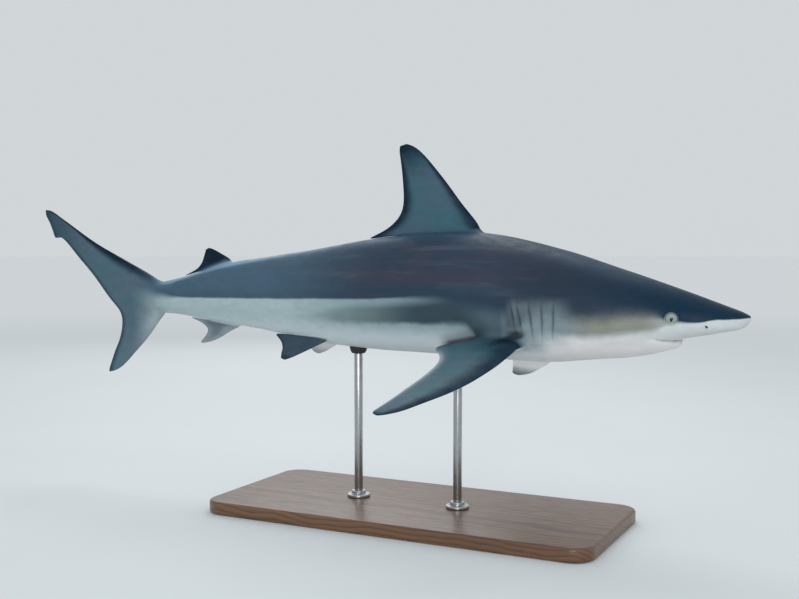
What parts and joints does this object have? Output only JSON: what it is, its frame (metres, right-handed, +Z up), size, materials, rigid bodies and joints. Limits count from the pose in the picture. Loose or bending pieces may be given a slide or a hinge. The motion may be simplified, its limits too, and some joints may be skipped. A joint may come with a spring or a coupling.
{
  "type": "blacktip shark",
  "caption": "Life-size still model of a swimming blacktip shark: long pointed snout, gill slits, falcate fins and tail, held level on a flat base by short rods.",
  "frame": {"origin": "on the floor, at the centre of the whole model's length and width", "axes": "+X to the snout, +Y to the shark's left side, +Z up"},
  "size_m": [1.5212, 0.642, 0.6985],
  "materials": {
    "skin": "satin shark skin, slate grey back, pale flank band, white belly, dark-edged fins",
    "eye": "wet gloss, pale grey-green iris with a dark pupil",
    "stand_wood": "dark stained hardwood, satin varnish",
    "stand_steel": "brushed stainless steel",
    "stand_pad": "matt black rubber"
  },
  "bodies": {
    "root": {"head": "skin", "lower_jaw": "skin", "gill_region": "skin", "trunk_front": "skin", "trunk_rear": "skin", "tail_stalk": "skin", "first_dorsal_fin": "skin", "second_dorsal_fin": "skin", "anal_fin": "skin", "pectoral_fin_left": "skin", "pectoral_fin_right": "skin", "pelvic_fin_left": "skin", "pelvic_fin_right": "skin", "caudal_fin_upper_lobe": "skin", "caudal_fin_lower_lobe": "skin", "eye_left": "eye", "eye_right": "eye", "stand_base": "stand_wood", "stand_rod_front": "stand_steel", "stand_collar_front": "stand_steel", "stand_cup_front": "stand_pad", "stand_rod_rear": "stand_steel", "stand_collar_rear": "stand_steel", "stand_cup_rear": "stand_pad"}
  },
  "joints": []
}
